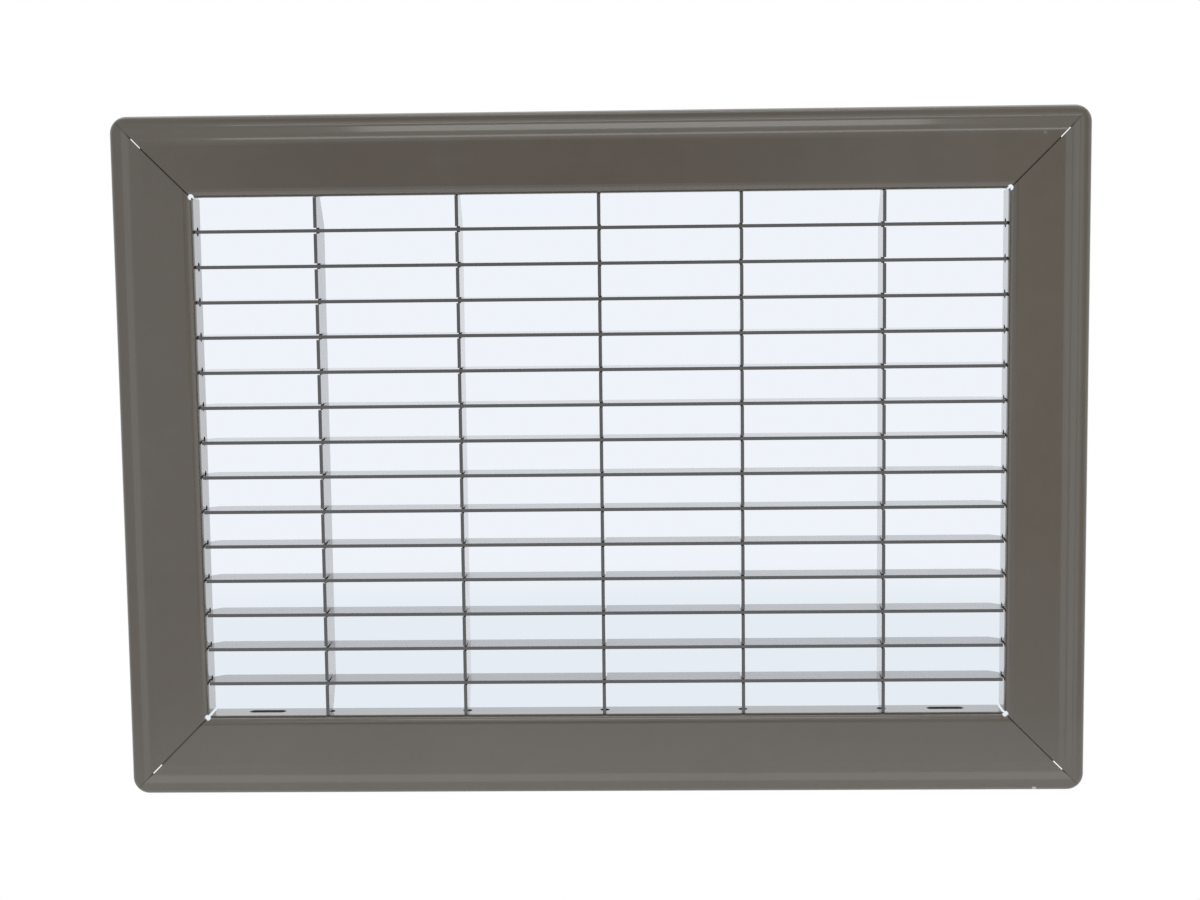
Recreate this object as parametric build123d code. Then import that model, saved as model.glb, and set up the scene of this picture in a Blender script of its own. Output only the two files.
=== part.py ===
from build123d import *
import math
import os

# Return air grille for an 8 x 12 inch duct opening, standing upright.
# X runs along the width, Z is up, the face looks toward -Y.
# The origin is the middle of the opening on the plane of the lip's rear edges (the seat, y = 0).

INCH = 25.4

# Face frame
overall_w = 13.75 * INCH
overall_h = 9.75 * INCH
border = 29.2
sheet_t = 0.9
corner_r = 6.0

# Rail section: heights forward from the seat, distances inward from the outer edge
face_h = 4.9
lip_bend_r = 1.5
rim_w = 1.9
step_foot = 3.4
step_run = 5.33
step_rise = 1.94
step_foot_r = 7.0
step_crown_r = 14.0
collar_bend_r = 3.2
collar_depth = 13.8

# Mitre seams: half gap where the seam gapes and between the collar walls; elsewhere the sheets meet
seam_open = 0.2
seam_collar = 0.42
seam_open_at = 7.9
seam_lap = 0.5

# Round relief at the inner end of each seam
relief_d = 2.1
relief_out = 0.4
relief_depth = 4.0

# Corner gussets behind the face
gusset_t = 0.9
gusset_reach = 46.0
gusset_outer = 11.2
gusset_inner = 25.6

# Core of blades and cross bars
blade_count = 14
blade_edge_gap = 12.1
blade_t = 1.22
blade_depth = 0.5 * INCH
bar_count = 5
bar_edge_gap = 43.8
bar_t = 1.22
bar_depth = 17.5
core_setback = 2.0

# Ends of blades and bars: play to the collar wall, share of the depth left square, cut-back corner, tab
blade_play = 0.5
blade_end_keep = 0.76
blade_end_run = 3.4
bar_play = 0.1
bar_end_keep = 0.5
bar_end_run = 10.5
tab_h = 3.05
tab_out = 1.3
tab_line = 9.1
tab_shoulder = 0.3

# Half-lap crossings
lap_share = 0.5
bar_notch_clear = 0.42
blade_notch_clear = 0.2

# Holes in the collar walls
tab_hole_d = 3.4
slot_l = 13.6
slot_w = 3.8
slot_inset = 20.4

# How far a cutting shape runs past what it cuts
over = 1.0

# Sizes that follow from the ones above
open_w = overall_w - 2 * border
open_h = overall_h - 2 * border
face_y = -face_h
land_h = face_h - step_rise
front_y = face_y + core_setback
tab_y = face_y + tab_line
lap_y = front_y + lap_share * blade_depth
blade_pitch = (open_h - 2 * blade_edge_gap) / (blade_count - 1)
bar_pitch = (open_w - 2 * bar_edge_gap) / (bar_count - 1)
slot_spacing = open_w - 2 * slot_inset
blade_z = [((blade_count - 1) / 2 - i) * blade_pitch for i in range(blade_count)]
bar_x = [(i - (bar_count - 1) / 2) * bar_pitch for i in range(bar_count)]


def rounded_path(points, radii):
    """Lines through points with an arc of the given radius at each inner point."""
    p = [Vector(*q) for q in points]
    edges = []
    start = p[0]
    for i in range(1, len(p) - 1):
        into = (p[i] - p[i - 1]).normalized()
        away = (p[i + 1] - p[i]).normalized()
        turn = math.acos(max(-1.0, min(1.0, into.dot(away))))
        back = radii[i - 1] * math.tan(turn / 2)
        first = p[i] - into * back
        last = p[i] + away * back
        inward = (away - into).normalized()
        centre = p[i] + inward * (radii[i - 1] / math.cos(turn / 2))
        middle = centre - inward * radii[i - 1]
        edges.append(Line(start, first))
        edges.append(ThreePointArc(first, middle, last))
        start = last
    edges.append(Line(start, p[-1]))
    return edges


def offset_points(points, distance):
    """Corner points of the polyline moved sideways by a sheet thickness."""
    p = [Vector(*q) for q in points]
    sides = []
    for a, b in zip(p, p[1:]):
        d = (b - a).normalized()
        sides.append(Vector(d.Y, -d.X, 0) * distance)
    moved = [p[0] + sides[0]]
    for i in range(1, len(p) - 1):
        s = sides[i - 1] + sides[i]
        moved.append(p[i] + s * (distance * distance / s.dot(sides[i])))
    moved.append(p[-1] + sides[-1])
    return [(q.X, q.Y) for q in moved]


def sheet_section(points, radii, convex):
    """Closed face of bent sheet: front path, the same path one sheet thickness behind it, two cut ends."""
    behind = offset_points(points, sheet_t)
    inner = [r - sheet_t if c else r + sheet_t for r, c in zip(radii, convex)]
    front = rounded_path(points, radii)
    rear = rounded_path(behind, inner)
    caps = [Line(points[0], behind[0]), Line(points[-1], behind[-1])]
    return make_face(front + rear + caps)


def plate(points, thickness, plane):
    """Flat plate cut from an outline, centred on its plane."""
    return extrude(plane * make_face(Polyline(*points, close=True)), thickness / 2, both=True)


def outline(inset):
    """Rounded outline of the frame, moved inward."""
    return Plane.XZ * RectangleRounded(overall_w - 2 * inset, overall_h - 2 * inset, corner_r - inset)


def rim():
    """Outer land with its turned-back lip, following the rounded corners of the frame."""
    outside = extrude(outline(0), land_h)
    outside = fillet(outside.edges().group_by(Axis.Y)[0], lip_bend_r)
    inside = extrude(outline(sheet_t), land_h - sheet_t)
    return outside - inside - extrude(outline(rim_w), land_h + over)


def rail_bar(length):
    """Step, face and collar wall of one rail, unmitred, along X with the outer edge at the top."""
    points = [
        (rim_w, land_h),
        (step_foot, land_h),
        (step_foot + step_run, face_h),
        (border, face_h),
        (border, face_h - collar_depth),
    ]
    section = sheet_section(points, [step_foot_r, step_crown_r, collar_bend_r], [False, True, True])
    across = Plane(origin=(0, 0, 0), x_dir=(0, 0, -1), z_dir=(-1, 0, 0))
    return extrude(across * section, length / 2, both=True)


def mitre_block(length):
    """Keeps what lies between the two mitre seams of a rail; plan view, outer edge at z = 0."""
    root2 = math.sqrt(2)
    shut_at = gusset_inner - seam_lap
    wall_at = border - 1.1 * sheet_t
    half = []
    for u, gap in (
        (-over, 0), (seam_open_at, 0), (seam_open_at, seam_open),
        (shut_at, seam_open), (shut_at, 0), (wall_at, 0),
        (wall_at, seam_collar), (border + over, seam_collar),
    ):
        half.append((length / 2 - u - root2 * gap, -u))
    points = half + [(-x, z) for x, z in reversed(half)]
    return plate(points, 2 * (collar_depth + over), Plane.XZ)


def collar_round(x, z, axis):
    """Round tab hole through a collar wall."""
    turn = Rotation(0, 90, 0) if axis == "x" else Rotation(0, 0, 0)
    return Pos(x, tab_y, z) * turn * Cylinder(tab_hole_d / 2, 2 * (sheet_t + over))


def collar_slot(x, z):
    """Obround fixing slot through the top or bottom collar wall, its long way along X."""
    return Pos(x, tab_y, z) * extrude(SlotOverall(slot_l, slot_w), sheet_t + over, both=True)


def relief(sx, sz):
    """Round relief where a mitre meets the inner bend."""
    x = sx * (open_w / 2 + relief_out)
    z = sz * (open_h / 2 + relief_out)
    return Pos(x, face_y, z) * Rotation(90, 0, 0) * Cylinder(relief_d / 2, 2 * relief_depth)


def make_rails():
    """Four mitred rails, each turned into its place, then pierced."""
    edge = rim()
    within = extrude(outline(lip_bend_r), collar_depth + over, both=True)
    reliefs = [relief(sx, sz) for sx in (-1, 1) for sz in (-1, 1)]
    rails = {}
    for name, length, reach, turn in (
        ("top_rail", overall_w, overall_h, 0), ("right_rail", overall_h, overall_w, 90),
        ("bottom_rail", overall_w, overall_h, 180), ("left_rail", overall_h, overall_w, 270),
    ):
        place = Rotation(0, turn, 0) * Pos(0, 0, reach / 2)
        block = place * mitre_block(length)
        rail = (place * rail_bar(length)) & block & within
        rail = rail + (edge & block)
        side = 1 if turn < 180 else -1
        cuts = list(reliefs)
        if turn in (90, 270):
            cuts += [collar_round(side * open_w / 2, z, "x") for z in blade_z]
        else:
            cuts += [collar_round(x, side * open_h / 2, "z") for x in bar_x]
            cuts += [collar_slot(s * slot_spacing / 2, side * open_h / 2) for s in (-1, 1)]
        rails[name] = rail - cuts
    return rails


def make_gusset(sx, sz):
    """L-shaped corner plate behind the face, short of the step and of the relief hole."""
    x0, z0 = overall_w / 2, overall_h / 2
    corners = [
        (gusset_outer, gusset_outer), (gusset_reach, gusset_outer), (gusset_reach, gusset_inner),
        (gusset_inner, gusset_inner), (gusset_inner, gusset_reach), (gusset_outer, gusset_reach),
    ]
    points = [(sx * (x0 - u), sz * (z0 - v)) for u, v in corners]
    front = face_y + sheet_t
    return Pos(0, front + gusset_t / 2, 0) * plate(points, gusset_t, Plane.XZ)


def strip_outline(span, play, depth, end_keep, end_run):
    """Outline of a strip on edge: along its length and its depth, with end tabs and cut-back corners."""
    half = span / 2 - play
    reach = span / 2 + sheet_t + tab_out
    low = tab_y - tab_h / 2
    high = tab_y + tab_h / 2
    square = max(front_y + end_keep * depth, high + tab_shoulder)
    right = [
        (half, front_y), (half, low), (reach, low), (reach, high),
        (half, high), (half, square), (half - end_run, front_y + depth),
    ]
    return right + [(-s, y) for s, y in reversed(right)]


def make_blade(z):
    """Blade: strip across the width with half-lap notches in its rear edge."""
    edge = strip_outline(open_w, blade_play, blade_depth, blade_end_keep, blade_end_run)
    body = plate(edge, blade_t, Plane.XY)
    notch_w = bar_t + 2 * blade_notch_clear
    deep = front_y + blade_depth - lap_y
    for x in bar_x:
        body -= Pos(x, lap_y + deep, 0) * Box(notch_w, 2 * deep, blade_t + over)
    return Pos(0, 0, z) * body


def make_bar(x):
    """Cross bar: deeper strip up the height with loose half-lap notches in its front edge."""
    upright = Plane(origin=(0, 0, 0), x_dir=(0, 0, 1), z_dir=(1, 0, 0))
    edge = strip_outline(open_h, bar_play, bar_depth, bar_end_keep, bar_end_run)
    body = plate([(s, -y) for s, y in edge], bar_t, upright)
    notch_w = blade_t + 2 * bar_notch_clear
    deep = lap_y - front_y
    for z in blade_z:
        body -= Pos(0, front_y, z) * Box(bar_t + over, 2 * deep, notch_w)
    return Pos(x, 0, 0) * body


nodes = dict(make_rails())
for vertical, sz in (("top", 1), ("bottom", -1)):
    for side_name, sx in (("left", -1), ("right", 1)):
        nodes[f"gusset_{vertical}_{side_name}"] = make_gusset(sx, sz)
for i, z in enumerate(blade_z):
    nodes[f"blade_{i + 1:02d}"] = make_blade(z)
for i, x in enumerate(bar_x):
    nodes[f"cross_bar_{i + 1}"] = make_bar(x)

os.makedirs("parts", exist_ok=True)
for name, shape in nodes.items():
    export_step(shape, f"parts/{name}.step")
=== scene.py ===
import math

import bpy
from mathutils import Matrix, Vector


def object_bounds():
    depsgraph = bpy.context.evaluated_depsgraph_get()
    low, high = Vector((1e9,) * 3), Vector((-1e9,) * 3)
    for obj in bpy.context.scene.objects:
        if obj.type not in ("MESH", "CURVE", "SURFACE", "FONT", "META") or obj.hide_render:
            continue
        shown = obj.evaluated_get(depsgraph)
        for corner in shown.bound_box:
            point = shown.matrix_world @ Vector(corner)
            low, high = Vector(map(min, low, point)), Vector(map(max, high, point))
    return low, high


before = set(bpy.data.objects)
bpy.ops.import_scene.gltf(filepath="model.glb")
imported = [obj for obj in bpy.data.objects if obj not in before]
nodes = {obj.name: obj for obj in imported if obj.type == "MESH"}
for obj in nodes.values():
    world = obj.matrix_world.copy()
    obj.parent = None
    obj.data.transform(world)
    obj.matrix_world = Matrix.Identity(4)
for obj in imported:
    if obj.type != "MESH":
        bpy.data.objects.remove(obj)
cad_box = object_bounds()

# Width, height and middle of the grille as the solids have them; lengths are in metres throughout
WIDTH = cad_box[1].x - cad_box[0].x
HEIGHT = cad_box[1].z - cad_box[0].z
MIDDLE = (cad_box[0] + cad_box[1]) / 2

# A pair of numbers below holds the ends of a ramp, from where it is 0 to where it is 1

# Semi-gloss enamel, deep to light: a warm taupe on rails and gussets, a cooler one on the core
TAUPE = ((0.1205, 0.1, 0.0765, 1), (0.1295, 0.108, 0.084, 1), (0.1375, 0.116, 0.092, 1))
SLATE = ((0.099, 0.095, 0.094, 1), (0.107, 0.103, 0.102, 1), (0.115, 0.111, 0.11, 1))
RAIL_ROUGHNESS = 0.16
GUSSET_ROUGHNESS = 0.32
CORE_ROUGHNESS = 0.3
COAT_ROUGHNESS = 0.07
ENAMEL_IOR = 1.5

# Unevenness of the enamel: cycles per metre, heights, and how much of the heights a piece shows
CLOUD_CYCLES = 14.0
MOTTLE_CYCLES = 110.0
PEEL_CYCLES = 700.0
PEEL_HEIGHT = 0.000006
ROLL_HEIGHT = 0.000003
FRAME_TEXTURE = 1.0
CORE_TEXTURE = 0.35
MOTTLE_ROUGHNESS = 0.06
NOISE_MEAN = 0.5

# Share of each pattern in the tone of the enamel, and where one tone gives way to the next
CLOUD_SHARE = 0.6
MOTTLE_SHARE = 0.3
ROLL_SHARE = 0.1
DEEP_TO_MIDDLE = (0.3, 0.5)
MIDDLE_TO_LIGHT = (0.5, 0.7)

# Roll lines of the strip, as cycles per metre along X, Y and Z
LEVEL_GRAIN = (14.0, 700.0, 700.0)
UPRIGHT_GRAIN = (700.0, 700.0, 14.0)

# Slope of the outer land and of the face, and where they end and begin inward from the outer edge
LAND_END = 0.0034
LAND_SLOPE = 0.06
FACE_START = 0.0112
FACE_SLOPE = 0.035

# Painted shade along a mitre, standing in for the shadow in its gap: distance from the mitre, reach
# along Y, and where it opens inward from the rim
SEAM_SHADE = (0.008, 0.0075, 0.007, 1)
SEAM_WIDTH = (0.0005, 0.0002)
SEAM_FRONT = (-0.0012, -0.0022)
SEAM_OPENS = (0.004, 0.009)
SEAM_AT_RIM = 0.3
SEAM_STRENGTH = 0.95
SEAM_COAT_LOSS = 0.9

# Nicks of the rails: X, Z, half width and how far the steel shows
BARE_STEEL = (0.62, 0.62, 0.61, 1)
NICKS = ((0.1567, -0.1232, 0.0008, 0.7), (0.1577, 0.1141, 0.0009, 0.15))
NICK_RAGGED = 0.0012
NICK_FACING = (0.0, -0.3)

# Light tent, by the direction of a ray: a dim gap for the lens, slightly above and left of straight
# ahead, and a dimmer and warmer stretch to the right of it
LENS_GAP = (-0.06, -0.9937, 0.095)
GAP_RIM = (0.994, 0.981)
GAP_SHARE = 0.4
TENT_TO_REAR = (-0.82, 0.17)
TENT_DIM = (0.2, 0.2, 0.2, 1)
TENT_PALE = (0.915, 0.95, 1.0, 1)
TENT_WARM = (0.385, 0.36, 0.305, 1)
WARM_X = (0.08, 0.2)
WARM_Y = (-0.85, -0.95)
WARM_Z = (-0.25, -0.13)

# Backdrop, by the direction of a ray: white, with painted shade, darker and cooler, where it is seen
# through the opening, and darker still low down there, standing in for the grille's shadow on it
BACKDROP = (1, 1, 1, 1)
BACKDROP_SHADED = (0.865, 0.897, 0.955, 1)
BACKDROP_SHADED_LOW = (0.785, 0.838, 0.895, 1)
OPENING_X = -0.0257
OPENING_Z = -0.105
OPENING_SIDES = (0.207, 0.19)
OPENING_HEAD = (0.146, 0.13)
OPENING_FOOT = (-0.15, -0.134)
OPENING_REAR = (0.5, 0.6)
LOW_STRETCH = (-0.16, -0.19)

# Floor: size, drop below the grille, and where it fades for the camera and in reflections
FLOOR_SIZE = 6.0
FLOOR_DROP = 0.15
FLOOR_WHITE = (0.84, 0.84, 0.845, 1)
FLOOR_FADE_SEEN = (0.22, 0.36)
FLOOR_FADE_REFLECTED = (0.6, 0.95)

# Lamps: turn and elevation in degrees, reach, shift along the width, width, depth and brightness
LAMPS = (
    ("softbox_low", 0, 29.5, 1.6, 0.2, 1.3, 0.09, 1.85),
    ("softbox_high", 0, 51, 1.5, 0.006, 0.58, 0.34, 1.95),
    ("softbox_top", 0, 95, 1.3, 0, 1.8, 0.8, 1.2),
    ("softbox_left", -62, 4, 1.5, 0, 0.5, 1.2, 0.2),
    ("softbox_right", 62, 4, 1.5, 0, 0.5, 1.2, 0.28),
    ("softbox_near", 39, 0, 1.5, 0, 0.4, 1.2, 0.28),
    ("softbox_foot", 0, -67.6, 0.281, 0, 0.9, 0.05, 0.36),
)

# Camera: lens and sensor in millimetres, place, and turns about X, Y and Z in degrees
CAMERA_LENS = 64.5
CAMERA_SENSOR = 36.0
CAMERA_PLACE = (0.021476, -0.773515, 0.090291)
CAMERA_TURNS = (83.5151, 0.6719, 1.5592)


class Wire:
    """A socket of a finish, with arithmetic that adds Math nodes to the same finish."""

    def __init__(self, finish, socket):
        self.finish = finish
        self.socket = socket

    def math(self, operation, *values):
        return self.finish.add("ShaderNodeMath", {"operation": operation}, dict(enumerate(values)))

    def __add__(self, other):
        return self.math("ADD", self, other)

    def __radd__(self, other):
        return self.math("ADD", other, self)

    def __sub__(self, other):
        return self.math("SUBTRACT", self, other)

    def __rsub__(self, other):
        return self.math("SUBTRACT", other, self)

    def __mul__(self, other):
        return self.math("MULTIPLY", self, other)

    def __rmul__(self, other):
        return self.math("MULTIPLY", other, self)

    def __abs__(self):
        return self.math("ABSOLUTE", self)

    def least(self, other):
        return self.math("MINIMUM", self, other)

    def most(self, other):
        return self.math("MAXIMUM", self, other)

    def ramp(self, low, high):
        """0 below low, 1 above high, eased in between; low may be the larger number."""
        return self.finish.add(
            "ShaderNodeMapRange", {"interpolation_type": "SMOOTHSTEP", "clamp": True},
            {"Value": self, "From Min": low, "From Max": high, "To Min": 0.0, "To Max": 1.0})


class Finish:
    """A node tree with one method that adds any node to it."""

    def __init__(self, tree):
        self.tree = tree
        tree.nodes.clear()

    def add(self, kind, settings=None, sockets=None, out=0):
        """Adds a node, sets it up, and gives the output that out numbers or names, if it has any."""
        node = self.tree.nodes.new(kind)
        for key, value in (settings or {}).items():
            setattr(node, key, value)
        for key, value in (sockets or {}).items():
            if isinstance(value, Wire):
                self.tree.links.new(value.socket, node.inputs[key])
            else:
                node.inputs[key].default_value = value
        return Wire(self, node.outputs[out]) if node.outputs else None

    def place(self, kind):
        return self.add("ShaderNodeTexCoord", out=kind)

    def noise(self, place, scale, detail=2.0, roughness=0.5):
        return self.add("ShaderNodeTexNoise", {}, {
            "Vector": place, "Scale": scale, "Detail": detail, "Roughness": roughness})

    def stretched(self, place, scale):
        return self.add(
            "ShaderNodeMapping", {"vector_type": "POINT"}, {"Vector": place, "Scale": scale})

    def blend(self, factor, first, second):
        """Mix of two colours; the node has its colour sockets after those for numbers and vectors."""
        return self.add(
            "ShaderNodeMix", {"data_type": "RGBA", "clamp_factor": True},
            {0: factor, 6: first, 7: second}, out=2)

    def parts(self, place):
        split = self.add("ShaderNodeSeparateXYZ", {}, {0: place})
        return [Wire(self, output) for output in split.socket.node.outputs]


def enamel(name, paint, grain, gloss, texture, rail=False):
    """Baked semi-gloss enamel on rolled strip: soft mottling, faint roll lines and orange peel."""
    material = bpy.data.materials.new(name)
    material.use_nodes = True
    f = Finish(material.node_tree)
    place = f.place("Object")

    clouds = f.noise(place, CLOUD_CYCLES, detail=3.0)
    mottle = f.noise(place, MOTTLE_CYCLES, detail=3.0, roughness=0.55)
    roll_lines = f.noise(f.stretched(place, grain), 1.0, detail=1.0)
    peel = f.noise(place, PEEL_CYCLES)

    tone = clouds * CLOUD_SHARE + mottle * MOTTLE_SHARE + roll_lines * ROLL_SHARE
    colour = f.blend(tone.ramp(*DEEP_TO_MIDDLE), paint[0], paint[1])
    colour = f.blend(tone.ramp(*MIDDLE_TO_LIGHT), colour, paint[2])
    roughness = gloss + (mottle - NOISE_MEAN) * MOTTLE_ROUGHNESS
    height = (peel * PEEL_HEIGHT + roll_lines * ROLL_HEIGHT) * texture
    coat = 1.0

    if rail:
        x, y, z = f.parts(place)
        from_side = WIDTH / 2 - abs(x)
        from_end = HEIGHT / 2 - abs(z)
        inward = from_side.least(from_end)
        # Face and outer land are not quite flat: both fall away a little toward the outer edge
        height = height + inward.most(FACE_START) * FACE_SLOPE + inward.least(LAND_END) * LAND_SLOPE
        # Painted shade along each mitre, standing in for the shadow in the gap between the rails; it
        # is fainter near the rim, and the coat is thinner along it
        seam_shade = abs(from_side - from_end).ramp(*SEAM_WIDTH) * y.ramp(*SEAM_FRONT)
        seam_shade = seam_shade * (inward.ramp(*SEAM_OPENS) * (1 - SEAM_AT_RIM) + SEAM_AT_RIM)
        colour = f.blend(seam_shade * SEAM_STRENGTH, colour, SEAM_SHADE)
        coat = 1.0 - seam_shade * SEAM_COAT_LOSS
        # Two small nicks in the front of the right-hand corners, worn to the steel
        normal_y = f.parts(f.place("Normal"))[1]
        for nick_x, nick_z, reach, bare in NICKS:
            gap = abs(x - nick_x).most(abs(z - nick_z)) + (mottle - NOISE_MEAN) * NICK_RAGGED
            nick = gap.ramp(reach, reach / 2) * normal_y.ramp(*NICK_FACING)
            colour = f.blend(nick * bare, colour, BARE_STEEL)

    normal = f.add("ShaderNodeBump", {}, {"Strength": 1.0, "Distance": 1.0, "Height": height})
    shader = f.add("ShaderNodeBsdfPrincipled", {}, {
        "Base Color": colour, "Roughness": roughness, "Normal": normal, "IOR": ENAMEL_IOR,
        "Coat Weight": coat, "Coat Roughness": COAT_ROUGHNESS, "Coat IOR": ENAMEL_IOR})
    f.add("ShaderNodeOutputMaterial", {}, {"Surface": shader})
    return material


def dress(material, *starts):
    """Gives a finish to the solids whose names start in one of these ways."""
    for name, node in nodes.items():
        if name.startswith(starts):
            node.data.materials.clear()
            node.data.materials.append(material)


def studio_world():
    """Pale tent around the grille for its light; the camera sees a white backdrop instead, with
    painted shade where it is seen through the opening.
    """
    world = bpy.data.worlds.new("studio")
    bpy.context.scene.world = world
    world.use_nodes = True
    f = Finish(world.node_tree)
    ray = f.place("Generated")
    x, y, z = f.parts(ray)

    ahead = f.add(
        "ShaderNodeVectorMath", {"operation": "DOT_PRODUCT"}, {0: ray, 1: LENS_GAP}, out="Value")
    tent = ahead.ramp(*GAP_RIM) * GAP_SHARE + y.ramp(*TENT_TO_REAR) * (1 - GAP_SHARE)
    light = f.blend(tent, TENT_DIM, TENT_PALE)
    warm = x.ramp(*WARM_X) * y.ramp(*WARM_Y) * z.ramp(*WARM_Z)
    light = f.blend(warm, light, TENT_WARM)

    # Painted shade: the backdrop darker and cooler in the directions seen through the opening, and
    # darker still toward its lower part
    side = abs(x - OPENING_X).ramp(*OPENING_SIDES)
    level = (z - OPENING_Z).ramp(*OPENING_HEAD) * (z - OPENING_Z).ramp(*OPENING_FOOT)
    shaded_backdrop = f.blend(z.ramp(*LOW_STRETCH), BACKDROP_SHADED, BACKDROP_SHADED_LOW)
    backdrop = f.blend(side * level * y.ramp(*OPENING_REAR), BACKDROP, shaded_backdrop)

    camera_ray = f.add("ShaderNodeLightPath", out="Is Camera Ray")
    colour = f.blend(camera_ray, light, backdrop)
    shade = f.add("ShaderNodeBackground", {}, {"Color": colour, "Strength": 1.0})
    f.add("ShaderNodeOutputWorld", {}, {"Surface": shade})


def studio_floor():
    """Pale floor below the grille that takes its shadow and fades into the backdrop further out."""
    bpy.ops.object.select_all(action="DESELECT")
    bpy.ops.mesh.primitive_plane_add(size=1.0, location=(0, 0, 0))
    floor = bpy.context.object
    floor.name = "floor"
    bpy.ops.object.mode_set(mode="EDIT")
    bpy.ops.transform.resize(value=(FLOOR_SIZE, FLOOR_SIZE, 1.0))
    bpy.ops.transform.translate(value=(0, 0, cad_box[0].z - FLOOR_DROP))
    bpy.ops.object.mode_set(mode="OBJECT")

    material = bpy.data.materials.new("floor_white")
    material.use_nodes = True
    f = Finish(material.node_tree)
    away = f.add("ShaderNodeVectorMath", {"operation": "LENGTH"}, {0: f.place("Object")}, out="Value")
    white = f.add("ShaderNodeBsdfDiffuse", {}, {"Color": FLOOR_WHITE})
    clear = f.add("ShaderNodeBsdfTransparent", {}, {"Color": (1, 1, 1, 1)})
    camera_ray = f.add("ShaderNodeLightPath", out="Is Camera Ray")
    glossy_ray = f.add("ShaderNodeLightPath", out="Is Glossy Ray")
    fade = away.ramp(*FLOOR_FADE_SEEN) * camera_ray + away.ramp(*FLOOR_FADE_REFLECTED) * glossy_ray
    surface = f.add("ShaderNodeMixShader", {}, {0: fade, 1: white, 2: clear})
    f.add("ShaderNodeOutputMaterial", {}, {"Surface": surface})
    floor.data.materials.append(material)


def softbox(name, turn, elevation, reach, shift, width, depth, radiance):
    """Rectangular lamp at a turn and an elevation from the grille, shifted along its own width."""
    swing, rise = math.radians(turn), math.radians(elevation)
    out = Vector((math.cos(rise) * math.sin(swing), -math.cos(rise) * math.cos(swing), math.sin(rise)))
    sideways = Vector((math.cos(swing), math.sin(swing), 0))
    data = bpy.data.lights.new(name, "AREA")
    data.shape = "RECTANGLE"
    data.size = width
    data.size_y = depth
    data.energy = radiance * math.pi * width * depth
    lamp = bpy.data.objects.new(name, data)
    bpy.context.scene.collection.objects.link(lamp)
    lamp.location = MIDDLE + out * reach + sideways * shift
    lamp.rotation_euler = out.to_track_quat("Z", "Y").to_euler()
    lamp.visible_camera = False


def studio_camera():
    """Camera where the photograph was taken from."""
    data = bpy.data.cameras.new("camera")
    data.sensor_fit = "HORIZONTAL"
    data.sensor_width = CAMERA_SENSOR
    data.lens = CAMERA_LENS
    camera = bpy.data.objects.new("camera", data)
    bpy.context.scene.collection.objects.link(camera)
    camera.location = CAMERA_PLACE
    camera.rotation_euler = [math.radians(turn) for turn in CAMERA_TURNS]
    bpy.context.scene.camera = camera


level_rail = enamel("rail_enamel_level", TAUPE, LEVEL_GRAIN, RAIL_ROUGHNESS, FRAME_TEXTURE, rail=True)
upright_rail = enamel(
    "rail_enamel_upright", TAUPE, UPRIGHT_GRAIN, RAIL_ROUGHNESS, FRAME_TEXTURE, rail=True)
dress(level_rail, "top_rail", "bottom_rail")
dress(upright_rail, "left_rail", "right_rail")
dress(enamel("gusset_enamel", TAUPE, LEVEL_GRAIN, GUSSET_ROUGHNESS, FRAME_TEXTURE), "gusset")
dress(enamel("blade_enamel", SLATE, LEVEL_GRAIN, CORE_ROUGHNESS, CORE_TEXTURE), "blade")
dress(enamel("bar_enamel", SLATE, UPRIGHT_GRAIN, CORE_ROUGHNESS, CORE_TEXTURE), "cross_bar")

studio_world()
studio_floor()
for lamp in LAMPS:
    softbox(*lamp)
studio_camera()
bpy.context.scene.view_settings.view_transform = "Standard"
